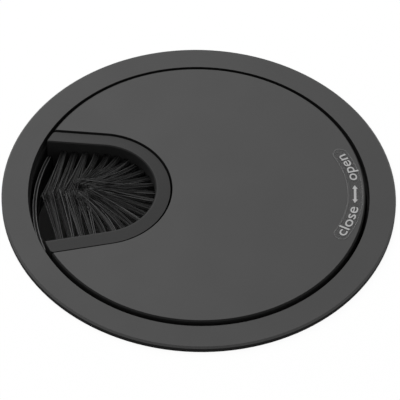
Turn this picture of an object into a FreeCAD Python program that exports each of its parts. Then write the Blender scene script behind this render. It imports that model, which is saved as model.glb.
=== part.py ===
import FreeCAD, Part
import math
import os

import Sketcher
from FreeCAD import Placement, Rotation, Vector

# Twist-lock brush grommet for a cable hole in a desk top.
# The origin is on the axis, level with the underside of the flange, which lies
# on the desk. +Z points up, the cable outlet is towards -X and the label +X.

doc = FreeCAD.newDocument("brush_cable_grommet")
sizes = doc.addObject("Spreadsheet::Sheet", "sizes")
row = 0


def dimension(alias, value, meaning):
    """Write one driving dimension, in millimetres, degrees or a count."""
    global row
    row += 1
    sizes.set(f"A{row}", alias)
    sizes.set(f"B{row}", str(value))
    sizes.set(f"C{row}", meaning)
    sizes.setAlias(f"B{row}", alias)


# Flange and sleeve
dimension("sleeve_radius", 39.75, "outside of the sleeve, for an 80 mm hole")
dimension("sleeve_wall", 1.2, "wall of the sleeve")
dimension("sleeve_depth", 20.0, "sleeve, from the flange's underside down")
dimension("sleeve_lead", 0.8, "lead-in at the sleeve's foot")
dimension("flange_overlap", 4.75, "flange, outwards from the sleeve")
dimension("flange_thickness", 1.5, "flange, from the desk up")
dimension("flange_bevel", 0.4, "bevelled outer edge of the flange")
dimension("guide_depth", 1.0, "top of the guide rib, below the flange's underside")
dimension("guide_thickness", 1.0, "rib in the bore that steadies the lid's skirt")
dimension("guide_width", 0.45, "guide rib, inwards from the sleeve's wall")

# Ledge inside the sleeve, with its bayonet
dimension("ledge_depth", 9.0, "top of the ledge, below the flange's underside")
dimension("ledge_thickness", 1.2, "ledge")
dimension("ledge_width", 2.0, "ledge, inwards from the sleeve's wall")
dimension("lug_count", 3, "bayonet lugs round the skirt")
dimension("lug_angle", 16.0, "width of a lug, in degrees")
dimension("lug_wall", 1.2, "neck of a lug")
dimension("lug_reach", 1.3, "how far a lug's hook reaches under the ledge")
dimension("lug_thickness", 1.4, "hook of a lug")
dimension("lug_root", 1.2, "height over which a lug joins the skirt")
dimension("turn_angle", 25.0, "turn from closed to open, in degrees")
dimension("turn_play", 0.6, "free angle between a lug and its stop, in degrees")
dimension("stop_angle", 3.0, "width of a stop rib, in degrees")
dimension("running_gap", 0.3, "clearance between the lid's skirt and lugs and the housing")

# Lid
dimension("lid_gap", 0.95, "gap round the lid")
dimension("lid_proud", 0.5, "lid's top above the flange's top")
dimension("lid_thickness", 1.6, "plate of the lid")
dimension("lid_bevel", 0.3, "bevelled edge of the lid")
dimension("skirt_wall", 0.8, "skirt below the plate")

# Cable outlet
dimension("outlet_setback", 15.0, "centre of the outlet's round end, in from the lid's edge")
dimension("outlet_offset", -0.25, "centre of the outlet's round end, off the X axis")
dimension("outlet_radius", 16.65, "round end of the cut-out in the lid")
dimension("outlet_taper", 8.4, "widening of each leg towards the edge, in degrees")
dimension("outlet_skew", 5.1, "turn of the outlet's axis off the X axis, in degrees")
dimension("hoop_drop", 5.0, "top of the skirt across the outlet, below the flange's top")

# Pocket that carries the brush frame
dimension("pocket_wall", 1.2, "wall round the brush frame")
dimension("seat_width", 2.4, "seat under the brush frame, inwards from the cut-out")
dimension("seat_thickness", 1.2, "seat under the brush frame")
dimension("seat_depth", 6.3, "top of the seat, below the flange's underside")

# Brush frame
dimension("frame_gap", 0.5, "gap between the frame and the lid")
dimension("frame_width", 3.3, "frame, across its rim")
dimension("frame_drop", 0.3, "outer edge of the rim below the lid's top")
dimension("frame_slope", 0.35, "rise of the rim from its outer to its inner edge")
dimension("frame_bevel", 0.25, "bevelled inner edge of the rim")
dimension("frame_end_gap", 0.1, "end of the rim inside the lid's edge")
dimension("frame_corner", 0.8, "rounded outer corner at each end of the rim")
dimension("hoop_gap", 0.4, "clearance between the frame and the hoop")
dimension("tab_width", 4.0, "snap tab on the frame")
dimension("tab_height", 1.0, "snap tab on the frame")
dimension("tab_reach", 0.6, "how far a tab enters its window")
dimension("tab_depth", 4.6, "top of a tab, below the flange's underside")
dimension("tab_place", 4.8, "middle of a side tab, along the leg from the round end")
dimension("tab_play", 0.3, "clearance round a tab in its window")

# Bristle tufts
dimension("tuft_count", 24, "tufts round the frame")
dimension("tuft_margin", 3.8, "outermost tuft, in from the end of the rim")
dimension("tuft_drop", 3.6, "axis of a tuft's root, below the lid's top")
dimension("tuft_root", 0.7, "radius of a tuft in its hole")
dimension("tuft_hole_depth", 2.0, "drilled hole that holds a tuft")
dimension("tuft_hole_gap", 0.05, "clearance round a tuft in its hole")
dimension("tuft_lean", 3.5, "lean of the leg tufts towards the edge of the lid")
dimension("tuft_rise", 2.6, "rise of a tuft from its root to its tip")
dimension("eye_offset", 3.8, "point that the round end's tufts aim at, from its centre")
dimension("eye_gap", 3.0, "tufts of the round end stop this far from that point")
dimension("seam_gap", 0.5, "tufts of the legs stop this far from the meeting line")
dimension("strand_radius", 0.2, "strand of bristles in a tuft")
dimension("strand_tip", 0.09, "strand at its tip")
dimension("strand_ring", 0.45, "outer strands from the tuft's axis, at the root")
dimension("leg_spread", 0.55, "the same at the tips of the leg tufts")
dimension("bow_spread", 0.28, "the same at the tips of the round end's tufts")
dimension("outer_short", 3.5, "outer strands shorter than the middle one")

# Label
dimension("label_margin", 0.5, "label, in from the lid's edge")
dimension("label_width", 3.8, "clear film")
dimension("label_half_angle", 22.3, "half of the label's length, in degrees")
dimension("label_thickness", 0.12, "clear film")

doc.recompute()

# Radii and heights that more than one piece shares
BORE_RADIUS = "(sizes.sleeve_radius - sizes.sleeve_wall)"
FLANGE_RADIUS = "(sizes.sleeve_radius + sizes.flange_overlap)"
LEDGE_RADIUS = f"({BORE_RADIUS} - sizes.ledge_width)"
LEDGE_FOOT = "(-sizes.ledge_depth - sizes.ledge_thickness)"
HOOK_RADIUS = f"({LEDGE_RADIUS} + sizes.lug_reach)"
LID_RADIUS = f"({BORE_RADIUS} - sizes.lid_gap)"
LID_TOP = "(sizes.flange_thickness + sizes.lid_proud)"
SKIRT_INSIDE = f"({LID_RADIUS} - sizes.skirt_wall)"
SEAT_TOP = "(-sizes.seat_depth)"
HOOP_TOP = "(sizes.flange_thickness - sizes.hoop_drop)"
AXIS_UP = Vector(0, 0, 1)
NEAR, FAR = 1, -1


def value_of(expression):
    """The number that an expression on the sheet gives now."""
    return float(sizes.evalExpression(expression.replace("sizes.", "")))


def size(alias):
    return float(sizes.get(alias))


def origin_feature(body, role):
    return next(f for f in body.Origin.OriginFeatures if f.Role == role)


def new_body(name):
    body = doc.addObject("PartDesign::Body", name)
    body.Label = name
    return body


def new_sketch(body, name, plane="XY_Plane", height="0"):
    """A sketch on one of the body's own planes, raised by an expression."""
    sketch = body.newObject("Sketcher::SketchObject", name)
    sketch.AttachmentSupport = (origin_feature(body, plane), [""])
    sketch.MapMode = "FlatFace"
    sketch.setExpression("AttachmentOffset.Base.z", height)
    doc.recompute()
    return sketch


def constrain(sketch, kind, *places, drive=None):
    """Add a constraint; drive is the expression of its length, or of its angle in degrees."""
    if drive is None:
        sketch.addConstraint(Sketcher.Constraint(kind, *places))
        return
    number = value_of(drive)
    if kind == "Angle":
        number = math.radians(number)
        drive = f"({drive}) * 1deg"
    index = sketch.addConstraint(Sketcher.Constraint(kind, *places, number))
    sketch.setExpression(f"Constraints[{index}]", drive)


def arc(centre, radius, first, last):
    return Part.ArcOfCircle(Part.Circle(centre, AXIS_UP, radius), first, last)


def polygon(sketch, corners):
    """Straight edges through the corners; gives the number of the first edge."""
    base = sketch.GeometryCount
    count = len(corners)
    for i in range(count):
        sketch.addGeometry(Part.LineSegment(corners[i], corners[(i + 1) % count]), False)
    for i in range(count):
        constrain(sketch, "Coincident", base + i, 2, base + (i + 1) % count, 1)
    return base


def section(body, name, corners):
    """A turned section on the XZ plane, its corners given as pairs of expressions."""
    sketch = new_sketch(body, name, "XZ_Plane")
    polygon(sketch, [Vector(value_of(x), value_of(z), 0) for x, z in corners])
    for i, (x, z) in enumerate(corners):
        constrain(sketch, "DistanceX", -1, 1, i, 1, drive=x)
        constrain(sketch, "DistanceY", -1, 1, i, 1, drive=z)
    doc.recompute()
    return sketch


def volume(body):
    return 0.0 if body.Shape.isNull() else body.Shape.Volume


def settle(body, feature, before, sign):
    """Take a feature as the body's tip; stop if it hasn't added (1) or cut (-1) anything."""
    body.Tip = feature
    doc.recompute()
    change = volume(body) - before
    if change * sign <= 0:
        raise RuntimeError(f"{feature.Name} changed the volume by {change:.4f}")
    return feature


def turned(body, name, sketch, angle=None):
    """Turn a section about the Z axis: all round, or by an angle each way in half."""
    before = volume(body)
    feature = body.newObject("PartDesign::Revolution", name)
    feature.Profile = sketch
    feature.ReferenceAxis = (sketch, ["V_Axis"])
    feature.Angle = 360.0
    if angle:
        feature.Midplane = True
        feature.setExpression("Angle", angle)
    return settle(body, feature, before, 1)


def pad(body, name, sketch, height):
    """Build up from the sketch along +Z."""
    before = volume(body)
    feature = body.newObject("PartDesign::Pad", name)
    feature.Profile = sketch
    feature.setExpression("Length", height)
    return settle(body, feature, before, 1)


def pocket(body, name, sketch, depth):
    """Cut from the sketch along -Z."""
    before = volume(body)
    feature = body.newObject("PartDesign::Pocket", name)
    feature.Profile = sketch
    feature.setExpression("Length", depth)
    return settle(body, feature, before, -1)


def round_the_axis(body, name, original, sign):
    """Repeat a feature once for each bayonet lug."""
    before = volume(body)
    feature = body.newObject("PartDesign::PolarPattern", name)
    feature.Originals = [original]
    feature.Axis = (origin_feature(body, "Z_Axis"), [""])
    feature.Angle = 360.0
    feature.setExpression("Occurrences", "sizes.lug_count")
    return settle(body, feature, before, sign)


def edges_where(shape, test):
    return [f"Edge{i}" for i, edge in enumerate(shape.Edges, 1) if test(edge)]


def bevel(body, name, test, depth, width=None):
    """Bevel the edges that pass a test, to a depth and, where it differs, a width."""
    before = volume(body)
    base = body.Tip
    feature = body.newObject("PartDesign::Chamfer", name)
    feature.Base = (base, edges_where(base.Shape, test))
    feature.setExpression("Size", depth)
    if width:
        feature.ChamferType = "Two distances"
        feature.setExpression("Size2", width)
    return settle(body, feature, before, -1)


def circle_at(radius, height):
    """A test for the arcs of one circle round the axis."""
    def test(edge):
        level = edge.BoundBox.ZMin > height - 1e-6 and edge.BoundBox.ZMax < height + 1e-6
        return level and abs(getattr(edge.Curve, "Radius", 0) - radius) < 1e-4
    return test


def sector(body, name, height, inner, outer, middle, width):
    """A ring sector in plan, from its radii, middle angle and width as expressions."""
    sketch = new_sketch(body, name, height=height)
    first, last = f"({middle}) - ({width}) / 2", f"({middle}) + ({width}) / 2"
    angles = [math.radians(value_of(text)) for text in (first, last)]
    radii = [value_of(text) for text in (inner, outer)]
    for radius in radii:
        sketch.addGeometry(arc(Vector(), radius, *angles), False)
    for angle in angles:
        across = Vector(math.cos(angle), math.sin(angle), 0)
        sketch.addGeometry(Part.LineSegment(across * radii[0], across * radii[1]), False)
    for number, radius in enumerate((inner, outer)):
        constrain(sketch, "Coincident", number, 3, -1, 1)
        constrain(sketch, "Radius", number, drive=radius)
    for line, end, angle in ((2, 1, first), (3, 2, last)):
        constrain(sketch, "Coincident", line, 1, 0, end)
        constrain(sketch, "Coincident", line, 2, 1, end)
        constrain(sketch, "Angle", line, drive=angle)
    doc.recompute()
    return sketch


# Housing: flange, sleeve and ledge are one moulding
housing = new_body("housing")
turned(housing, "flange_and_sleeve", section(housing, "flange_and_sleeve_section", [
    (BORE_RADIUS, "-sizes.sleeve_depth"),
    ("sizes.sleeve_radius - sizes.sleeve_lead / 2", "-sizes.sleeve_depth"),
    ("sizes.sleeve_radius", "sizes.sleeve_lead - sizes.sleeve_depth"),
    ("sizes.sleeve_radius", "0"),
    (FLANGE_RADIUS, "0"),
    (FLANGE_RADIUS, "sizes.flange_thickness"),
    (BORE_RADIUS, "sizes.flange_thickness"),
]))

IN_THE_WALL = f"({BORE_RADIUS} + sizes.sleeve_wall / 2)"
turned(housing, "ledge", section(housing, "ledge_section", [
    (LEDGE_RADIUS, LEDGE_FOOT),
    (IN_THE_WALL, LEDGE_FOOT),
    (IN_THE_WALL, "-sizes.ledge_depth"),
    (LEDGE_RADIUS, "-sizes.ledge_depth"),
]))

GUIDE_RADIUS = f"({BORE_RADIUS} - sizes.guide_width)"
GUIDE_TOP = "(-sizes.guide_depth)"
GUIDE_FOOT = f"({GUIDE_TOP} - sizes.guide_thickness)"
turned(housing, "guide_rib", section(housing, "guide_rib_section", [
    (GUIDE_RADIUS, GUIDE_FOOT),
    (IN_THE_WALL, GUIDE_FOOT),
    (IN_THE_WALL, GUIDE_TOP),
    (GUIDE_RADIUS, GUIDE_TOP),
]))

# The lugs drop through the notches when the lid is open, and turn under the ledge
notch = pocket(
    housing, "notch",
    sector(housing, "notch_outline", "-sizes.ledge_depth + sizes.running_gap",
           f"{LEDGE_RADIUS} - sizes.running_gap", f"{HOOK_RADIUS} + sizes.running_gap",
           "sizes.turn_angle", "sizes.lug_angle + 2 * sizes.turn_play"),
    "sizes.ledge_thickness + 2 * sizes.running_gap",
)
round_the_axis(housing, "notches", notch, -1)

STOP_HEIGHT = "(sizes.running_gap + sizes.lug_thickness)"
HALF_SWEEP = "((sizes.lug_angle + sizes.stop_angle) / 2 + sizes.turn_play)"
for name, middle in (("closed_stop", f"-{HALF_SWEEP}"), ("open_stop", f"sizes.turn_angle + {HALF_SWEEP}")):
    outline = sector(housing, f"{name}_outline", f"{LEDGE_FOOT} - {STOP_HEIGHT}",
                     LEDGE_RADIUS, IN_THE_WALL, middle, "sizes.stop_angle")
    rib = pad(housing, name, outline, STOP_HEIGHT)
    round_the_axis(housing, f"{name}s", rib, 1)

bevel(housing, "flange_edge", circle_at(value_of(FLANGE_RADIUS), size("flange_thickness")),
      "sizes.flange_bevel")


class Outlet:
    """The tapered U of the outlet, set inwards by a distance from the cut in the lid."""

    def __init__(self, inset):
        self.radius = size("outlet_radius") - inset
        self.centre = Vector(value_of(OUTLET_CENTRE_X), size("outlet_offset"), 0)
        self.taper = math.radians(size("outlet_taper"))
        heading = math.radians(180 + size("outlet_skew"))
        self.axis = Vector(math.cos(heading), math.sin(heading), 0)
        self.side = Vector(-math.sin(heading), math.cos(heading), 0)
        self.quarter = self.radius * (math.pi / 2 - self.taper)

    def leg(self, side):
        """Start and direction of the NEAR or the FAR leg."""
        across = self.side * side
        along = self.axis * math.cos(self.taper) + across * math.sin(self.taper)
        outward = across * math.cos(self.taper) - self.axis * math.sin(self.taper)
        return self.centre + outward * self.radius, along

    def leg_length(self, side, end_radius):
        """Length of a leg up to a circle round the grommet's axis."""
        start, along = self.leg(side)
        half = start.dot(along)
        return -half + math.sqrt(half ** 2 - start.dot(start) + end_radius ** 2)

    def leg_end(self, side, end_radius):
        start, along = self.leg(side)
        return start + along * self.leg_length(side, end_radius)

    def place(self, travel):
        """Point and inward direction at a distance along the U from its middle, NEAR positive."""
        side = NEAR if travel >= 0 else FAR
        start, along = self.leg(side)
        if abs(travel) > self.quarter:
            return start + along * (abs(travel) - self.quarter), (self.centre - start).normalize()
        turn = travel / self.radius
        outward = self.side * math.sin(turn) - self.axis * math.cos(turn)
        return self.centre + outward * self.radius, outward * -1

    def passes(self, point):
        """True where a point of the plan lies on the U."""
        offset = Vector(point.x, point.y, 0) - self.centre
        along, across = offset.dot(self.axis), abs(offset.dot(self.side))
        distance = across * math.cos(self.taper) - along * math.sin(self.taper)
        on_leg = along * math.cos(self.taper) + across * math.sin(self.taper) > 0
        return abs((distance if on_leg else offset.Length) - self.radius) < 1e-3


OUTLET_CENTRE_X = f"(sizes.outlet_setback - {LID_RADIUS})"


def outlet_outline(body, name, height, inset, end_radius):
    """The U as a closed outline in plan, ended by an arc round the grommet's axis."""
    sketch = new_sketch(body, name, height=height)
    outline = Outlet(value_of(inset))
    starts = {side: outline.leg(side)[0] for side in (NEAR, FAR)}
    ends = {side: outline.leg_end(side, value_of(end_radius)) for side in (NEAR, FAR)}

    def heading(point):
        return math.atan2(point.y, point.x)

    bow = [heading(starts[side] - outline.centre) for side in (NEAR, FAR)]
    rim = [heading(ends[FAR]), heading(ends[NEAR]) + 2 * math.pi]
    sketch.addGeometry(arc(outline.centre, outline.radius, *bow), False)
    sketch.addGeometry(Part.LineSegment(starts[NEAR], ends[NEAR]), False)
    sketch.addGeometry(Part.LineSegment(starts[FAR], ends[FAR]), False)
    sketch.addGeometry(arc(Vector(), value_of(end_radius), *rim), False)
    constrain(sketch, "Tangent", 0, 1, 1, 1)
    constrain(sketch, "Tangent", 0, 2, 2, 1)
    constrain(sketch, "Coincident", 3, 1, 2, 2)
    constrain(sketch, "Coincident", 3, 2, 1, 2)
    constrain(sketch, "Coincident", 3, 3, -1, 1)
    constrain(sketch, "Radius", 0, drive=f"sizes.outlet_radius - ({inset})")
    constrain(sketch, "Radius", 3, drive=end_radius)
    constrain(sketch, "DistanceX", -1, 1, 0, 3, drive=OUTLET_CENTRE_X)
    constrain(sketch, "DistanceY", -1, 1, 0, 3, drive="sizes.outlet_offset")
    constrain(sketch, "Angle", 1, drive="sizes.outlet_skew + sizes.outlet_taper - 180")
    constrain(sketch, "Angle", 2, drive="sizes.outlet_skew - sizes.outlet_taper + 180")
    doc.recompute()
    return sketch


def tab_outline(body, name, height, outer, inner, width):
    """Rectangles across the cut's outline: one on each leg and one at the middle."""
    sketch = new_sketch(body, name, height=height)
    cut = Outlet(0)
    side_place = cut.quarter + size("tab_place")
    for travel in (-side_place, 0, side_place):
        point, inward = cut.place(travel)
        half = Vector(-inward.y, inward.x, 0) * (value_of(width) / 2)
        low, high = (point + inward * value_of(edge) for edge in (outer, inner))
        base = polygon(sketch, [low - half, low + half, high + half, high - half])
        for i in range(3):
            constrain(sketch, "Perpendicular", base + i, base + i + 1)
        constrain(sketch, "Distance", base, drive=width)
        constrain(sketch, "Distance", base + 1, drive=f"({inner}) - ({outer})")
    doc.recompute()
    return sketch


# Lid: plate, skirt, lugs and brush pocket are one moulding
lid = new_body("lid")
SKIRT_FOOT = "(sizes.running_gap - sizes.ledge_depth)"
PLATE_FOOT = f"({LID_TOP} - sizes.lid_thickness)"
turned(lid, "plate_and_skirt", section(lid, "plate_and_skirt_section", [
    ("0", LID_TOP),
    ("0", PLATE_FOOT),
    (SKIRT_INSIDE, PLATE_FOOT),
    (SKIRT_INSIDE, SKIRT_FOOT),
    (LID_RADIUS, SKIRT_FOOT),
    (LID_RADIUS, LID_TOP),
]))
bevel(lid, "lid_edge", circle_at(value_of(LID_RADIUS), value_of(LID_TOP)), "sizes.lid_bevel")

LUG_OUTSIDE = f"({LEDGE_RADIUS} - sizes.running_gap)"
LUG_INSIDE = f"({LUG_OUTSIDE} - sizes.lug_wall)"
LUG_SHOULDER = f"({SKIRT_FOOT} + sizes.lug_root)"
HOOK_TOP = f"({LEDGE_FOOT} - sizes.running_gap)"
HOOK_FOOT = f"({HOOK_TOP} - sizes.lug_thickness)"
IN_THE_SKIRT = f"({SKIRT_INSIDE} + sizes.skirt_wall / 2)"
lug = turned(lid, "lug", section(lid, "lug_section", [
    (LUG_INSIDE, LUG_SHOULDER),
    (LUG_INSIDE, HOOK_FOOT),
    (HOOK_RADIUS, HOOK_FOOT),
    (HOOK_RADIUS, HOOK_TOP),
    (LUG_OUTSIDE, HOOK_TOP),
    (LUG_OUTSIDE, SKIRT_FOOT),
    (IN_THE_SKIRT, SKIRT_FOOT),
    (IN_THE_SKIRT, LUG_SHOULDER),
]), angle="sizes.lug_angle")
round_the_axis(lid, "lugs", lug, 1)

# A block is hung under the plate, then the outlet, the frame's well and the hole
# in the seat are cut in turn; below the hoop's top the skirt stays whole
SEAT_FOOT = f"({SEAT_TOP} - sizes.seat_thickness)"
block = outlet_outline(lid, "block_outline", SEAT_FOOT, "-sizes.pocket_wall", IN_THE_SKIRT)
pad(lid, "pocket_block", block, f"{PLATE_FOOT} - {SEAT_FOOT}")
mouth = outlet_outline(lid, "outlet_outline", LID_TOP, "0", "sizes.sleeve_radius")
pocket(lid, "outlet", mouth, f"{LID_TOP} - {HOOP_TOP}")
well = outlet_outline(lid, "well_outline", HOOP_TOP, "0", SKIRT_INSIDE)
pocket(lid, "frame_well", well, f"{HOOP_TOP} - {SEAT_TOP}")
hole = outlet_outline(lid, "seat_hole_outline", SEAT_TOP, "sizes.seat_width", SKIRT_INSIDE)
pocket(lid, "seat_hole", hole, "sizes.seat_thickness")
windows = tab_outline(lid, "window_outline", "sizes.tab_play - sizes.tab_depth",
                      "-sizes.pocket_wall - sizes.tab_play", "sizes.frame_gap",
                      "sizes.tab_width + 2 * sizes.tab_play")
pocket(lid, "snap_windows", windows, "sizes.tab_height + 2 * sizes.tab_play")

# Brush frame: a U-shaped strip, its rim sloping up to the inner edge
brush_frame = new_body("brush_frame")
FRAME_TOP = f"({LID_TOP} - sizes.frame_drop + sizes.frame_slope)"
FRAME_INSET = "(sizes.frame_gap + sizes.frame_width)"
RIM_FOOT = f"({HOOP_TOP} + sizes.hoop_gap)"
RIM_END = f"({LID_RADIUS} - sizes.frame_end_gap)"
outline = outlet_outline(brush_frame, "rim_outline", RIM_FOOT, "sizes.frame_gap", FLANGE_RADIUS)
pad(brush_frame, "rim", outline, f"{FRAME_TOP} - {RIM_FOOT}")
outline = outlet_outline(brush_frame, "wall_outline", SEAT_TOP, "sizes.frame_gap",
                         f"{SKIRT_INSIDE} - sizes.hoop_gap")
pad(brush_frame, "wall", outline, f"{RIM_FOOT} - {SEAT_TOP}")
outline = outlet_outline(brush_frame, "inside_outline", FRAME_TOP, FRAME_INSET,
                         f"{FLANGE_RADIUS} + sizes.frame_width")
pocket(brush_frame, "inside", outline, f"{FRAME_TOP} - {SEAT_TOP}")

outer_u = Outlet(size("frame_gap"))
inner_u = Outlet(value_of(FRAME_INSET))


def along_the_rim(outline):
    """A test for the rim's top edges along one of its two outlines."""
    def test(edge):
        middle = (edge.FirstParameter + edge.LastParameter) / 2
        spots = [edge.valueAt(t) for t in (edge.FirstParameter, middle, edge.LastParameter)]
        return all(p.z > value_of(FRAME_TOP) - 1e-6 and outline.passes(p) for p in spots)
    return test


bevel(brush_frame, "rim_slope", along_the_rim(outer_u),
      "sizes.frame_slope", "sizes.frame_width - 2 * sizes.frame_bevel")
bevel(brush_frame, "rim_inner_edge", along_the_rim(inner_u), "sizes.frame_bevel")

# The rim's legs are trimmed to an arc that follows the lid's edge, corners rounded
trim = new_sketch(brush_frame, "rim_end_outline", height=FRAME_TOP)
for number, radius in enumerate((RIM_END, f"{FLANGE_RADIUS} + 2 * sizes.frame_width")):
    trim.addGeometry(Part.Circle(Vector(), AXIS_UP, value_of(radius)), False)
    constrain(trim, "Coincident", number, 3, -1, 1)
    constrain(trim, "Radius", number, drive=radius)
doc.recompute()
trimmed = pocket(brush_frame, "rim_ends", trim, f"{FRAME_TOP} - {RIM_FOOT}")


def outer_corner(edge):
    """A test for the upright edges at the rim's two outer corners."""
    upright = edge.BoundBox.ZLength > 1e-3 > edge.BoundBox.XLength + edge.BoundBox.YLength
    ends = [outer_u.leg_end(side, value_of(RIM_END)) for side in (NEAR, FAR)]
    spot = edge.Vertexes[0].Point
    return upright and any(math.hypot(spot.x - p.x, spot.y - p.y) < 1e-3 for p in ends)


before = volume(brush_frame)
corners = brush_frame.newObject("PartDesign::Fillet", "rim_corners")
corners.Base = (trimmed, edges_where(trimmed.Shape, outer_corner))
corners.setExpression("Radius", "sizes.frame_corner")
settle(brush_frame, corners, before, -1)

tabs = tab_outline(brush_frame, "tab_outline", "-sizes.tab_depth - sizes.tab_height",
                   "-sizes.tab_reach", f"{FRAME_INSET} / 2", "sizes.tab_width")
pad(brush_frame, "snap_tabs", tabs, "sizes.tab_height")


class Tuft:
    """Where a tuft is rooted, where it points and how far it stands out."""

    def __init__(self, travel):
        point, _ = inner_u.place(travel)
        self.root = Vector(point.x, point.y, value_of(LID_TOP) - size("tuft_drop"))
        leaning = (point - inner_u.centre).dot(inner_u.axis) + size("tuft_lean")
        self.on_leg = leaning > size("eye_offset")
        goal = inner_u.centre + inner_u.axis * max(leaning, size("eye_offset"))
        goal.z = self.root.z + size("tuft_rise")
        reach = goal - self.root
        self.length = reach.Length - size("seam_gap" if self.on_leg else "eye_gap")
        self.heading = reach.normalize()
        self.turn = Rotation(AXIS_UP, self.heading)


# The tufts are spaced evenly along the frame's inner wall, from leg to leg
reaches = {
    side: inner_u.quarter + inner_u.leg_length(side, value_of(RIM_END)) - size("tuft_margin")
    for side in (NEAR, FAR)
}
tuft_count = round(size("tuft_count"))
pitch = (reaches[NEAR] + reaches[FAR]) / (tuft_count - 1)
tufts = [Tuft(number * pitch - reaches[FAR]) for number in range(tuft_count)]

for number, tuft in enumerate(tufts, 1):
    before = volume(brush_frame)
    drilled = brush_frame.newObject("PartDesign::SubtractiveCylinder", f"tuft_hole_{number:02d}")
    drilled.setExpression("Radius", "sizes.tuft_root + sizes.tuft_hole_gap")
    drilled.setExpression("Height", "2 * sizes.tuft_hole_depth")
    drilled.Placement = Placement(tuft.root - tuft.heading * size("tuft_hole_depth"), tuft.turn)
    settle(brush_frame, drilled, before, -1)


# A tuft: a bound root with one strand up the middle and a ring of six round it
STRANDS_IN_RING = 6
STRAND_SIDES = 5
ROOT_SIDES = 10


def ring_of(sides, radius, centre):
    """A closed wire of equal sides, level, about a centre."""
    corners = []
    for i in range(sides + 1):
        angle = 2 * math.pi * i / sides
        corners.append(centre + Vector(math.cos(angle), math.sin(angle), 0) * radius)
    return Part.makePolygon(corners)


def strand(foot, tip):
    ends = [ring_of(STRAND_SIDES, size("strand_radius"), foot),
            ring_of(STRAND_SIDES, size("strand_tip"), tip)]
    return Part.makeLoft(ends, True, True)


def tuft_shape(tuft):
    root_foot = Vector(0, 0, size("tuft_hole_gap") - size("tuft_hole_depth"))
    strand_foot = root_foot / 2
    bound = Part.Face(ring_of(ROOT_SIDES, size("tuft_root"), root_foot))
    root = bound.extrude(-root_foot * 0.95)
    strands = [strand(strand_foot, Vector(0, 0, tuft.length))]
    spread = size("leg_spread" if tuft.on_leg else "bow_spread")
    for i in range(STRANDS_IN_RING):
        angle = 2 * math.pi * i / STRANDS_IN_RING
        outward = Vector(math.cos(angle), math.sin(angle), 0)
        tip = outward * spread + Vector(0, 0, tuft.length - size("outer_short"))
        strands.append(strand(strand_foot + outward * size("strand_ring"), tip))
    return root.multiFuse(strands)


tuft_features = []
for number, tuft in enumerate(tufts, 1):
    bunch = doc.addObject("Part::Feature", f"tuft_{number:02d}")
    bunch.Label = f"tuft_{number:02d}"
    bunch.Shape = tuft_shape(tuft)
    bunch.Placement = Placement(tuft.root, tuft.turn)
    tuft_features.append(bunch)

# Label: clear film with rounded ends, stuck on the lid's top opposite the outlet
label = new_body("label")
LABEL_OUTER = f"({LID_RADIUS} - sizes.label_margin)"
LABEL_INNER = f"({LABEL_OUTER} - sizes.label_width)"
film = new_sketch(label, "label_outline", height=LID_TOP)
cap_radius = size("label_width") / 2
cap_place = value_of(LABEL_OUTER) - cap_radius
swing = math.radians(size("label_half_angle")) - math.asin(cap_radius / cap_place)
for number, radius in enumerate((LABEL_INNER, LABEL_OUTER)):
    film.addGeometry(arc(Vector(), value_of(radius), -swing, swing), False)
    constrain(film, "Coincident", number, 3, -1, 1)
for end, first in ((-swing, math.pi - swing), (swing, swing)):
    centre = Vector(math.cos(end), math.sin(end), 0) * cap_place
    film.addGeometry(arc(centre, cap_radius, first, first + math.pi), False)
for edge, edge_end, cap, cap_end in ((0, 1, 2, 1), (1, 1, 2, 2), (0, 2, 3, 2), (1, 2, 3, 1)):
    constrain(film, "Tangent", edge, edge_end, cap, cap_end)
constrain(film, "Radius", 0, drive=LABEL_INNER)
constrain(film, "Radius", 1, drive=LABEL_OUTER)
doc.recompute()
pad(label, "label_film", film, "sizes.label_thickness")

# Every object has to be sound before anything is written
sub_parts = [housing, lid, brush_frame, *tuft_features, label]
doc.recompute()
for item in doc.Objects:
    if "Invalid" in item.State or "Error" in item.State:
        raise RuntimeError(f"{item.Name} is in state {item.State}")
for part in sub_parts:
    if part.Shape.isNull() or not part.Shape.isValid() or len(part.Shape.Solids) != 1:
        raise RuntimeError(f"{part.Label} isn't one sound solid")

os.makedirs("parts", exist_ok=True)
for part in sub_parts:
    part.Shape.exportStep(f"parts/{part.Label}.step")
print(len(sub_parts), "sub-parts,", round(pitch, 3), "mm between tufts")
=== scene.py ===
import math
import random

import bpy
from mathutils import Matrix, Vector


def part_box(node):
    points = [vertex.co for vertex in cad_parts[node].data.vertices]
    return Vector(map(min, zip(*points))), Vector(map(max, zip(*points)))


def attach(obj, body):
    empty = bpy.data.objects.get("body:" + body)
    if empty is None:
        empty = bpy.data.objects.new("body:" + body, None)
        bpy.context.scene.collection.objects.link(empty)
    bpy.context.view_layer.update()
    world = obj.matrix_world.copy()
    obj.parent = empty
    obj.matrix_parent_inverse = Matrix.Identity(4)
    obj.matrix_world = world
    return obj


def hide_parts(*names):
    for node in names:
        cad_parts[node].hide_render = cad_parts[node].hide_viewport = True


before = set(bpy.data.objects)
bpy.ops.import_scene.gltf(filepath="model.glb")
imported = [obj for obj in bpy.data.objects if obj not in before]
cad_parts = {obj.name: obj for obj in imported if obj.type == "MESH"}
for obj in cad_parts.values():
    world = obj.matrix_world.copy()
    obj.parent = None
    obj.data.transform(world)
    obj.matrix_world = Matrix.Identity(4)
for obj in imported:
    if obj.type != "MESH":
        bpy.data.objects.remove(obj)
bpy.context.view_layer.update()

# Housing: the flange ring, the sleeve and the ledge in it are one injection moulding
# in black ABS. Its tool was spark-eroded, which leaves the top satin, with a very
# fine grain. The sleeve fits the hole in the desk, and the flange lies on the desk.
GRAIN_SIZE = 0.00022
GRAIN_DEPTH = 0.000006
GRAIN_STRENGTH = 0.6
FLOW_SIZE = 0.012
FLOW_SHARE = 0.7
SPECK_SIZE = 0.0006
ROUGHNESS_RANGE = 0.1
SIDE_ROUGHNESS = 0.6
SIDE_SPECULAR = 0.02
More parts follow.
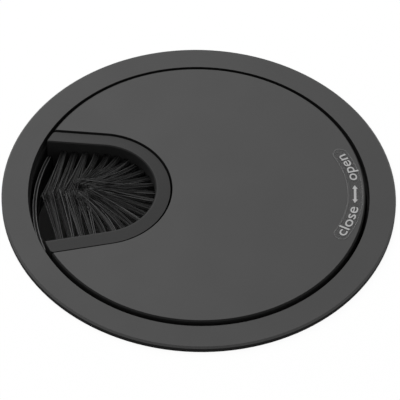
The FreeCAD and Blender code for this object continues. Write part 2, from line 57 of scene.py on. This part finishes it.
# A face's finish changes as the Z of its normal rises between two values. The flange's
# bevel, at 45 degrees, is as satin as its top, and is painted paler: a painted highlight
# that lets it show as bright as the top, though it faces from the lamp.
FLANGE_RISE = (0.55, 0.68)
FLAT_RISE = (0.8, 0.95)
RECESS_HEIGHT = 0.0009
TOP_HEIGHT = 0.0011
HIGHLIGHT_LINE_WIDTH = 0.0002
HIGHLIGHT_LINE_LEVEL = 150


class Plug:
    """An output of a node. Arithmetic on it adds the Math nodes that work it out."""

    def __init__(self, graph, socket):
        self.graph = graph
        self.socket = socket

    def maths(self, operation, first, second):
        return self.graph.node("ShaderNodeMath", 0, {"operation": operation}, {0: first, 1: second})

    def __add__(self, other):
        return self.maths("ADD", self, other)

    __radd__ = __add__

    def __sub__(self, other):
        return self.maths("SUBTRACT", self, other)

    def __rsub__(self, other):
        return self.maths("SUBTRACT", other, self)

    def __mul__(self, other):
        return self.maths("MULTIPLY", self, other)

    __rmul__ = __mul__

    def __pow__(self, other):
        return self.maths("POWER", self, other)


class Graph:
    """The node tree of a material or of the world."""

    def __init__(self, owner):
        owner.use_nodes = True
        self.owner = owner
        self.tree = owner.node_tree

    def fill(self, node, sockets):
        """Give a node's sockets, by their names or places, their values or links."""
        for key, value in sockets.items():
            if isinstance(value, Plug):
                self.tree.links.new(value.socket, node.inputs[key])
            else:
                node.inputs[key].default_value = value

    def node(self, kind, output, settings, sockets):
        """Add a node: its settings first, then its sockets. Gives one of its outputs."""
        node = self.tree.nodes.new(kind)
        for key, value in settings.items():
            setattr(node, key, value)
        self.fill(node, sockets)
        return Plug(self, node.outputs[output])

    def mix(self, factor, first, second):
        """Blend two colours: the factor's socket is 0, and the colours' are 6 and 7."""
        return self.node("ShaderNodeMix", 2, {"data_type": "RGBA"}, {0: factor, 6: first, 7: second})

    def parts(self, vector):
        """The X, Y and Z of a vector."""
        split = self.node("ShaderNodeSeparateXYZ", 0, {}, {0: vector}).socket.node
        return [Plug(self, output) for output in split.outputs]

    def step(self, value, low, high):
        """Rise smoothly from 0 at a low value to 1 at a high one."""
        return self.node("ShaderNodeMapRange", 0, {"interpolation_type": "SMOOTHSTEP"}, {
            "Value": value, "From Min": low, "From Max": high, "To Min": 0, "To Max": 1,
        })

    def noise(self, place, size, detail):
        """Soft noise from 0 to 1, with lumps of a size in metres."""
        return self.node("ShaderNodeTexNoise", 0, {}, {
            "Vector": place, "Scale": 1 / size, "Detail": detail,
        })


def grey(level):
    """A neutral colour from its level on a screen, 0 to 255, by the sRGB curve."""
    share = level / 255
    linear = share / 12.92 if share < 0.04 else ((share + 0.055) / 1.055) ** 2.4
    return (linear, linear, linear, 1)


def moulded(name, *, level, bevel_highlight_level, side_level, mottle, specular, roughness, rise, highlighted_edges=()):
    """Black ABS: satin with a fine grain on top, and dull on its sides and inside.

    The levels are greys, and mottle is how far they stray. A bevel grey above the top's
    level is a painted highlight on the bevel. The listed edges are circles round the Z axis,
    by their radius and height, painted pale on upward faces as painted highlights.
    """
    graph = Graph(bpy.data.materials.new(name))
    place = graph.node("ShaderNodeTexCoord", "Object", {}, {})
    x, y, height = graph.parts(place)
    facing = graph.node("ShaderNodeTexCoord", "Normal", {}, {})
    slope = graph.parts(facing)[2]
    grain = graph.noise(place, GRAIN_SIZE, detail=2)
    flow = graph.noise(place, FLOW_SIZE, detail=3)
    speck = graph.noise(place, SPECK_SIZE, detail=1)
    shade = FLOW_SHARE * flow + (1 - FLOW_SHARE) * speck

    grained = graph.node("ShaderNodeBump", 0, {}, {
        "Strength": GRAIN_STRENGTH, "Distance": GRAIN_DEPTH, "Height": grain,
    })
    flat_shade = graph.mix(shade, grey(level - mottle), grey(level + mottle))
    satin = graph.tree.nodes["Principled BSDF"]
    # A bevel grey above the top's level paints a highlight on the bevel.
    graph.fill(satin, {
        "Base Color": graph.mix(graph.step(slope, *FLAT_RISE), grey(bevel_highlight_level), flat_shade),
        "Roughness": roughness - ROUGHNESS_RANGE / 2 + ROUGHNESS_RANGE * flow,
        "Specular IOR Level": specular,
        "Normal": grained,
    })

    upward = graph.step(slope, *rise)
    side_shade = graph.mix(shade, grey(side_level - mottle), grey(side_level + mottle))
    # Painted highlights: thin pale lines along the listed edges, on faces that look up.
    for edge_radius, edge_height in highlighted_edges:
        out = (x ** 2 + y ** 2) ** 0.5 - edge_radius
        distance = (out ** 2 + (height - edge_height) ** 2) ** 0.5
        away = graph.step(distance, HIGHLIGHT_LINE_WIDTH / 2, HIGHLIGHT_LINE_WIDTH)
        side_shade = graph.mix(upward * (1 - away), side_shade, grey(HIGHLIGHT_LINE_LEVEL))
    dull = graph.node("ShaderNodeBsdfPrincipled", 0, {}, {
        "Base Color": side_shade,
        "Roughness": SIDE_ROUGHNESS + ROUGHNESS_RANGE * flow,
        "Specular IOR Level": SIDE_SPECULAR,
    })

    on_top = upward * graph.step(height, RECESS_HEIGHT, TOP_HEIGHT)
    finish = graph.node("ShaderNodeMixShader", 0, {}, {
        0: on_top, 1: dull, 2: Plug(graph, satin.outputs[0]),
    })
    graph.fill(graph.tree.nodes["Material Output"], {"Surface": finish})
    return graph.owner


def dress(name, material):
    """Put a material on a piece that comes from the frame."""
    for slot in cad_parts[name].material_slots:
        slot.material = material


# The flange's bevel is painted paler than its top: a painted highlight.
dress("housing", moulded(
    "satin_black_housing", level=46, bevel_highlight_level=70, side_level=48, mottle=3,
    specular=0.3, roughness=0.5, rise=FLANGE_RISE,
))

# Lid: a second moulding in the same ABS, whose three lugs turn under the ledge. Its
# skirt goes on as a lower hoop across the outlet, whose two top edges are painted pale:
# painted highlights where their small roundings catch the light. Its bevel is as dull as
# its sides.
LID_RISE = (0.75, 0.95)
HOOP_TOP = -0.0035
HOOP_INSIDE = 0.0368
HOOP_OUTSIDE = 0.0376

dress("lid", moulded(
    "satin_black_lid", level=46, bevel_highlight_level=46, side_level=48, mottle=3,
    specular=0.3, roughness=0.48, rise=LID_RISE,
    # The hoop's two top edges get thin painted highlights.
    highlighted_edges=[(HOOP_INSIDE, HOOP_TOP), (HOOP_OUTSIDE, HOOP_TOP)],
))

# Brush frame: a U-shaped strip moulded in a duller black, snapped into the lid's
# pocket by its tabs. Its rim slopes up to the inner edge.
dress("brush_frame", moulded(
    "dull_black_frame", level=34, bevel_highlight_level=34, side_level=50, mottle=7,
    specular=0.23, roughness=0.55, rise=LID_RISE,
))

# Bristle tufts: each is a bunch of black nylon bristles, folded in half and
# driven into its hole. The tufts are a little longer than half the outlet's width, so
# where they meet they bend over each other and give way towards the lid's edge.
BRISTLES_IN_TUFT = 17
BRISTLE_SIDES = 6
BRISTLE_STEPS = 10
BRISTLE_RADIUS = 0.00013
BRISTLE_TIP = 0.00008
ROOT_TUCK = 0.0009
ROOT_SPREAD = 0.0006
TIP_SPREAD = 0.0011
LEG_TIP_SPREAD = 0.0015
LEG_BEND = 0.3
FLATNESS = 0.6
LENGTH_SPREAD = 0.0009
BEND_SPREAD = 0.0004
# The tufts of the two legs meet along a seam. Those of the round end aim at one eye, and
# the more a tuft comes from the side, the more it is pushed towards the lid's edge.
FAR_LEG_TUFTS = 3
NEAR_LEG_TUFTS = 4
FAR_LEG_REACH = Vector((-0.0009, -0.0026, 0.0))
NEAR_LEG_REACH = Vector((0.0006, 0.0012, 0.0))
GAP_ROUND_EYE = 0.003
EYE_SHIFT = Vector((0.0001, 0.0013, 0.0))
EYE_RADIUS = 0.001
FAR_PUSH = Vector((-0.002, -0.0004, 0.0))
NEAR_PUSH = Vector((-0.0034, -0.0012, 0.0))
GOLDEN_ANGLE = math.pi * (3 - math.sqrt(5))
END_SLICE = 0.02
ROOT_PAINTED_LIGHT = 0.6
ROOT_LIGHT_FADE = 4
PALE_RARITY = 4
SCUFF_SIZE = 0.0007
SCUFF_SHARE = 0.15
SCUFF_ROUGHNESS = 0.15
BRISTLE_ROUGHNESS = 0.3
BRISTLE_SPECULAR = 0.18
DARKEST_BRISTLE = 3
PALEST_BRISTLE = 100
BRISTLE_SEED = 24

UP = Vector((0, 0, 1))
scene = bpy.context.scene


def tuft_ends(name):
    """Foot and tip of a tuft: the middles of the two ends of its solid."""
    points = [vertex.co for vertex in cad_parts[name].data.vertices]
    middle = sum(points, Vector()) / len(points)
    tip = max(points, key=lambda point: (point - middle).length)
    foot = max(points, key=lambda point: (point - tip).length)
    axis = (tip - foot).normalized()
    reach = (tip - foot).dot(axis)
    feet = [point for point in points if (point - foot).dot(axis) < END_SLICE * reach]
    tips = [point for point in points if (point - foot).dot(axis) > (1 - END_SLICE) * reach]
    return sum(feet, Vector()) / len(feet), sum(tips, Vector()) / len(tips)


tuft_names = sorted(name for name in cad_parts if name.startswith("tuft_"))
ends = [tuft_ends(name) for name in tuft_names]
headings = [(tip - foot).normalized() for foot, tip in ends]
round_end = range(FAR_LEG_TUFTS, len(ends) - NEAR_LEG_TUFTS)
aims = [ends[number][1] + headings[number] * GAP_ROUND_EYE for number in round_end]
eye = sum(aims, Vector()) / len(aims) + EYE_SHIFT


def tuft_curve(number):
    """Start, control point and end of the curve that a tuft's middle follows.

    In the round end it leaves the wall squarely and bends to the eye. In a leg it goes
    almost straight to the seam.
    """
    foot, tip = ends[number]
    heading = headings[number]
    start = foot + heading * ROOT_TUCK
    if number < FAR_LEG_TUFTS:
        end = tip + FAR_LEG_REACH
    elif number in round_end:
        push = FAR_PUSH if heading.y < 0 else NEAR_PUSH
        end = eye + push * heading.y ** 2 - heading * EYE_RADIUS
    else:
        end = tip + NEAR_LEG_REACH
    before = ends[max(number - 1, 0)][0]
    after = ends[min(number + 1, len(ends) - 1)][0]
    square = (after - before).cross(UP).normalized()
    if square.dot(heading) < 0:
        square = -square
    square.z = heading.z
    bend = 1 if number in round_end else LEG_BEND
    straight = (end - start).normalized()
    return start, start + straight.lerp(square, bend) * (end - start).length / 2, end


def tube(line, radii, tones_and_root_light, mesh):
    """Add one tapered bristle along a line of points to the lists of a mesh."""
    vertices, faces, shades = mesh
    first = len(vertices)
    for number, (point, radius, shade) in enumerate(zip(line, radii, tones_and_root_light)):
        ahead = line[min(number + 1, len(line) - 1)] - line[max(number - 1, 0)]
        turn = ahead.to_track_quat("Z", "Y")
        for side in range(BRISTLE_SIDES):
            angle = 2 * math.pi * side / BRISTLE_SIDES
            around = Vector((math.cos(angle), math.sin(angle), 0)) * radius
            vertices.append(point + turn @ around)
            shades.append(shade)
    for ring in range(len(line) - 1):
        low = first + ring * BRISTLE_SIDES
        high = low + BRISTLE_SIDES
        for side in range(BRISTLE_SIDES):
            after = (side + 1) % BRISTLE_SIDES
            faces.append((low + side, low + after, high + after, high + side))
    last = first + (len(line) - 1) * BRISTLE_SIDES
    faces.append(tuple(reversed(range(first, first + BRISTLE_SIDES))))
    faces.append(tuple(range(last, last + BRISTLE_SIDES)))


def bristle_tuft(name, number, chance):
    """A bunch of bristles in place of a tuft's solid, set out like a sunflower's seeds.

    Its section is round at the root and flatter towards the tips. The root is painted
    paler, a painted light that fades towards the tips.
    """
    start, control, end = tuft_curve(number)
    length = (end - start).length
    across = headings[number].cross(UP).normalized()
    above = across.cross(headings[number])
    tip_spread = TIP_SPREAD if number in round_end else LEG_TIP_SPREAD
    shares = [step / (BRISTLE_STEPS - 1) for step in range(BRISTLE_STEPS)]
    radii = [BRISTLE_RADIUS + (BRISTLE_TIP - BRISTLE_RADIUS) * share for share in shares]
    # Painted light: each root is painted paler, fading along the bristle, though the rim shades the
    # roots.
    pale = [ROOT_PAINTED_LIGHT * (1 - share) ** ROOT_LIGHT_FADE for share in shares]
    mesh = ([], [], [])
    for strand in range(BRISTLES_IN_TUFT):
        place = math.sqrt((strand + 0.5) / BRISTLES_IN_TUFT)
        angle = strand * GOLDEN_ANGLE
        stray = (across * chance.gauss(0, 1) + above * chance.gauss(0, 1)) * BEND_SPREAD
        kept = 1 - abs(chance.gauss(0, LENGTH_SPREAD)) / length
        line = []
        for share in shares:
            along = share * kept
            middle = start.lerp(control, along).lerp(control.lerp(end, along), along)
            spread = ROOT_SPREAD + (tip_spread - ROOT_SPREAD) * along
            flatness = 1 + (FLATNESS - 1) * along
            outward = (across * math.cos(angle) + above * math.sin(angle) * flatness) * place
            line.append(middle + outward * spread + stray * along ** 2)
        own_shade = chance.random()
        tube(line, radii, [own_shade + (1 - own_shade) * part for part in pale], mesh)
    vertices, faces, shades = mesh
    data = bpy.data.meshes.new(f"{name}_bristles")
    data.from_pydata([tuple(vertex) for vertex in vertices], [], faces)
    data.polygons.foreach_set("use_smooth", [len(face) == 4 for face in faces])
    data.attributes.new("shade", "FLOAT", "POINT").data.foreach_set("value", shades)
    return bpy.data.objects.new(f"{name}_bristles", data)


nylon = Graph(bpy.data.materials.new("black_nylon_bristle"))
bristle_tone_and_root_light = nylon.node("ShaderNodeAttribute", "Fac", {"attribute_name": "shade"}, {})
nylon_place = nylon.node("ShaderNodeTexCoord", "Object", {}, {})
scuff = nylon.noise(nylon_place, SCUFF_SIZE, detail=2)
# Besides each bristle's own tone, the shade attribute carries the painted light on its root.
tone_and_root_light = bristle_tone_and_root_light ** PALE_RARITY * (1 - SCUFF_SHARE) + scuff * SCUFF_SHARE
nylon.fill(nylon.tree.nodes["Principled BSDF"], {
    "Base Color": nylon.mix(tone_and_root_light, grey(DARKEST_BRISTLE), grey(PALEST_BRISTLE)),
    "Roughness": BRISTLE_ROUGHNESS + SCUFF_ROUGHNESS * scuff,
    "Specular IOR Level": BRISTLE_SPECULAR,
})

chance = random.Random(BRISTLE_SEED)
for number, name in enumerate(tuft_names):
    tuft = bristle_tuft(name, number, chance)
    scene.collection.objects.link(tuft)
    tuft.data.materials.append(nylon.owner)
    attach(tuft, "turning_lid")
    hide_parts(name)

# Label: a clear polyester film with rounded ends, stuck on the lid near its edge
# and bent more tightly than the edge. Its faint pale body is a painted sheen, and its cut
# edge is painted paler and more opaque, a painted highlight.
FILM_WIDTH = 0.0034
FILM_RADIUS = 0.023
FILM_MIDDLE = 0.03527
FILM_CENTRE = FILM_MIDDLE - FILM_RADIUS
FILM_STEPS = 32
CUT_EDGE = 0.00025
FILM_ALPHA = 0.06
CUT_EDGE_HIGHLIGHT_ALPHA = 0.3
FILM_SHEEN_LEVEL = 110
CUT_EDGE_HIGHLIGHT_LEVEL = 170

film_low, film_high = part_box("label")
film_end = math.asin((film_high.y - FILM_WIDTH / 2) / FILM_RADIUS)


def on_label(angle, radius, height):
    """A point of the label, by its angle and radius on the label's own arc."""
    return Vector((FILM_CENTRE + radius * math.cos(angle), radius * math.sin(angle), height))


def film_outline(height):
    """The strip's outer side, its far end, its inner side and its near end."""
    half = FILM_WIDTH / 2

    def side(radius, way):
        turns = [2 * step / FILM_STEPS - 1 for step in range(FILM_STEPS + 1)]
        return [on_label(way * turn * film_end, radius, height) for turn in turns]

    def rounded(angle, start):
        middle = on_label(angle, FILM_RADIUS, height)
        turns = [start + math.pi * step / FILM_STEPS for step in range(1, FILM_STEPS)]
        return [middle + half * Vector((math.cos(turn), math.sin(turn), 0)) for turn in turns]

    far_end = rounded(film_end, film_end)
    near_end = rounded(-film_end, math.pi - film_end)
    return side(FILM_RADIUS + half, 1) + far_end + side(FILM_RADIUS - half, -1) + near_end


underside = film_outline(film_low.z)
face = film_outline(film_high.z)
corners = len(face)
film_faces = [tuple(reversed(range(corners))), tuple(range(corners, 2 * corners))]
for corner in range(corners):
    after = (corner + 1) % corners
    film_faces.append((corner, after, corners + after, corners + corner))
film_data = bpy.data.meshes.new("label_strip")
film_data.from_pydata(underside + face, [], film_faces)
film_strip = bpy.data.objects.new("label_strip", film_data)
scene.collection.objects.link(film_strip)

film = Graph(bpy.data.materials.new("clear_label_film"))
film_place = film.node("ShaderNodeTexCoord", "Object", {}, {})
film_x, film_y = film.parts(film_place)[:2]
film_x = film_x - FILM_CENTRE
swing = film.node("ShaderNodeMath", 0, {"operation": "ARCTAN2"}, {0: film_y, 1: film_x})
swing = film.node("ShaderNodeClamp", 0, {}, {"Value": swing, "Min": -film_end, "Max": film_end})
cosine = film.node("ShaderNodeMath", 0, {"operation": "COSINE"}, {0: swing})
sine = film.node("ShaderNodeMath", 0, {"operation": "SINE"}, {0: swing})
off_middle = ((film_x - FILM_RADIUS * cosine) ** 2 + (film_y - FILM_RADIUS * sine) ** 2) ** 0.5
cut_edge_highlight = film.step(off_middle, FILM_WIDTH / 2 - CUT_EDGE, FILM_WIDTH / 2)
# A painted sheen over the film, and a painted highlight along its cut edge.
film.fill(film.tree.nodes["Principled BSDF"], {
    "Base Color": film.mix(cut_edge_highlight, grey(FILM_SHEEN_LEVEL), grey(CUT_EDGE_HIGHLIGHT_LEVEL)),
    "Roughness": 0.25,
    "Alpha": FILM_ALPHA + CUT_EDGE_HIGHLIGHT_ALPHA * cut_edge_highlight,
})
film_data.materials.append(film.owner)
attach(film_strip, "turning_lid")
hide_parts("label")

# Words on the label: screen-printed in light grey ink. They say which way the
# lid turns, read from the near end to the far end, with their feet outwards.
INK_THICKNESS = 0.00003
INK_SPECK = 0.00025
THIN_INK = 165
THICK_INK = 190
STROKE_GAIN = 0.00002
X_HEIGHT = 0.00195
X_HEIGHT_SHARE = 0.547
BASELINE_RADIUS = FILM_RADIUS + X_HEIGHT / 2
ARROW_LENGTH = 0.0055
ARROW_HEAD = 0.0011
ARROW_WIDTH = 0.00125
ARROW_SHAFT = 0.00055


def printed(curve, name, middle, width):
    """Turn a flat curve into a print along the label, by the angle of its middle."""
    curve.extrude = INK_THICKNESS / 2
    flat = bpy.data.objects.new(name, curve)
    scene.collection.objects.link(flat)
    bpy.context.view_layer.update()
    settled = flat.evaluated_get(bpy.context.evaluated_depsgraph_get())
    data = bpy.data.meshes.new_from_object(settled)
    bpy.data.objects.remove(flat)
    lefts = [vertex.co.x for vertex in data.vertices]
    centre = (min(lefts) + max(lefts)) / 2
    scale = width / (max(lefts) - min(lefts))
    for vertex in data.vertices:
        angle = middle + (vertex.co.x - centre) * scale / BASELINE_RADIUS
        height = film_high.z + INK_THICKNESS / 2 + vertex.co.z
        vertex.co = on_label(angle, BASELINE_RADIUS - vertex.co.y, height)
    return bpy.data.objects.new(name, data)


def word(text):
    """A word in Blender's built-in face, at the label's x-height, its foot on y = 0."""
    curve = bpy.data.curves.new(text, "FONT")
    curve.body = text
    curve.size = X_HEIGHT / X_HEIGHT_SHARE
    curve.offset = STROKE_GAIN
    return curve


def arrow():
    """A double-headed arrow, centred on the middle of the x-height."""
    curve = bpy.data.curves.new("arrow", "CURVE")
    curve.dimensions = "2D"
    curve.fill_mode = "BOTH"
    tip = ARROW_LENGTH / 2
    neck = tip - ARROW_HEAD
    right_half = [(tip, 0), (neck, ARROW_WIDTH / 2), (neck, ARROW_SHAFT / 2)]
    upper = right_half + [(-x, y) for x, y in reversed(right_half)]
    outline = upper + [(-x, -y) for x, y in upper[1:-1]]
    line = curve.splines.new("POLY")
    line.points.add(len(outline) - 1)
    for point, (x, y) in zip(line.points, outline):
        point.co = (x, y + X_HEIGHT / 2, 0, 1)
    line.use_cyclic_u = True
    return curve


ink = Graph(bpy.data.materials.new("light_grey_ink"))
ink_place = ink.node("ShaderNodeTexCoord", "Object", {}, {})
ink_cover = ink.noise(ink_place, INK_SPECK, detail=2)
ink.fill(ink.tree.nodes["Principled BSDF"], {
    "Base Color": ink.mix(ink_cover, grey(THIN_INK), grey(THICK_INK)),
    "Roughness": 0.5,
})

prints = [
    printed(word("close"), "print_close", middle=math.radians(-20.8), width=0.0093),
    printed(arrow(), "print_arrow", middle=math.radians(-0.2), width=ARROW_LENGTH),
    printed(word("open"), "print_open", middle=math.radians(20.1), width=0.0083),
]
for piece in prints:
    scene.collection.objects.link(piece)
    piece.data.materials.append(ink.owner)
    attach(piece, "turning_lid")

# Desk top: a plain white board, with the round hole that the sleeve goes
# through. Below it lies a pale floor, in the board's shade.
HOLE_RADIUS = 0.0403
BOARD_HEIGHT = -0.00002
BOARD_RADIUS = 2.5
BOARD_SIDES = 128
BOARD_LEVEL = 170
BOARD_GLOW = 1.12
GLOW_SHARE = 0.85
FLOOR_HEIGHT = -0.35
FLOOR_LEVEL = 195
WHITE = (1, 1, 1, 1)


def circle(radius, height):
    """Points round the Z axis."""
    turns = [2 * math.pi * side / BOARD_SIDES for side in range(BOARD_SIDES)]
    return [(radius * math.cos(turn), radius * math.sin(turn), height) for turn in turns]


board_faces = []
for side in range(BOARD_SIDES):
    after = (side + 1) % BOARD_SIDES
    board_faces.append((side, BOARD_SIDES + side, BOARD_SIDES + after, after))
board_data = bpy.data.meshes.new("desk_top")
board_data.from_pydata(
    circle(HOLE_RADIUS, BOARD_HEIGHT) + circle(BOARD_RADIUS, BOARD_HEIGHT), [], board_faces,
)
board = bpy.data.objects.new("desk_top", board_data)
floor_data = bpy.data.meshes.new("floor_below")
floor_data.from_pydata(circle(BOARD_RADIUS, FLOOR_HEIGHT), [], [tuple(range(BOARD_SIDES))])
floor_below = bpy.data.objects.new("floor_below", floor_data)


def seen_directly(graph):
    """1 for rays from the camera, and for those reflected by or let through the object."""
    light_path = graph.node("ShaderNodeLightPath", "Is Camera Ray", {}, {})
    outputs = light_path.socket.node.outputs
    glossy = Plug(graph, outputs["Is Glossy Ray"])
    through = Plug(graph, outputs["Is Transmission Ray"])
    return light_path + glossy + through


white = Graph(bpy.data.materials.new("white_board"))
lit = white.tree.nodes["Principled BSDF"]
white.fill(lit, {
    "Base Color": grey(BOARD_LEVEL), "Roughness": 0.9, "Specular IOR Level": 0.1,
})
glow = white.node("ShaderNodeEmission", 0, {}, {"Color": WHITE, "Strength": BOARD_GLOW})
board_face = white.node("ShaderNodeMixShader", 0, {}, {
    0: GLOW_SHARE * seen_directly(white), 1: Plug(white, lit.outputs[0]), 2: glow,
})
white.fill(white.tree.nodes["Material Output"], {"Surface": board_face})
board_data.materials.append(white.owner)
shaded = Graph(bpy.data.materials.new("shaded_floor"))
shaded.fill(shaded.tree.nodes["Principled BSDF"], {
    "Base Color": grey(FLOOR_LEVEL), "Roughness": 0.9, "Specular IOR Level": 0.0,
})
floor_data.materials.append(shaded.owner)
for backdrop in (board, floor_below):
    scene.collection.objects.link(backdrop)

# Studio: an even white tent and one large soft lamp, high on the left behind the desk.
# The camera is a long lens that looks down at the middle of the lid. Its shift puts the
# object about a pixel left of the picture's middle and nine above it.
TENT_LEVEL = 0.3
LAMP_POWER = 15.0
LAMP_SIZE = 1.2
LAMP_PLACE = Vector((-0.45, 0.8, 1.05))
AIM = Vector((0, 0, 0.0015))
DISTANCE = 0.623
ELEVATION = math.radians(49.2)
ROLL = math.radians(-1.61)
LENS = 248.5
NEAREST = 0.01
PICTURE_PIXELS = 400
PIXELS_LEFT = 1.06
PIXELS_UP = 8.7

world = bpy.data.worlds.new("white_tent")
scene.world = world
tent = Graph(world)
backdrop_white = tent.node("ShaderNodeBackground", 0, {}, {"Color": WHITE, "Strength": 1})
light_white = tent.node("ShaderNodeBackground", 0, {}, {"Color": WHITE, "Strength": TENT_LEVEL})
both = tent.node("ShaderNodeMixShader", 0, {}, {
    0: seen_directly(tent), 1: light_white, 2: backdrop_white,
})
tent.fill(tent.tree.nodes["World Output"], {"Surface": both})

lamp_data = bpy.data.lights.new("soft_lamp", "AREA")
lamp_data.size = LAMP_SIZE
lamp_data.energy = LAMP_POWER
lamp = bpy.data.objects.new("soft_lamp", lamp_data)
lamp.location = LAMP_PLACE
lamp.rotation_euler = (AIM - LAMP_PLACE).to_track_quat("-Z", "Y").to_euler()
scene.collection.objects.link(lamp)

forward = Vector((0, math.cos(ELEVATION), -math.sin(ELEVATION)))
level_up = Vector((0, math.sin(ELEVATION), math.cos(ELEVATION)))
level_right = Vector((1, 0, 0))
right = level_right * math.cos(ROLL) - level_up * math.sin(ROLL)
upward = level_up * math.cos(ROLL) + level_right * math.sin(ROLL)
camera_data = bpy.data.cameras.new("camera")
camera_data.lens = LENS
camera_data.clip_start = NEAREST
camera_data.shift_x = PIXELS_LEFT / PICTURE_PIXELS
camera_data.shift_y = -PIXELS_UP / PICTURE_PIXELS
camera = bpy.data.objects.new("camera", camera_data)
turn = Matrix((right, upward, -forward)).transposed().to_4x4()
camera.matrix_world = Matrix.Translation(AIM - forward * DISTANCE) @ turn
scene.collection.objects.link(camera)
bpy.context.scene.camera = camera
bpy.context.scene.view_settings.view_transform = "Standard"
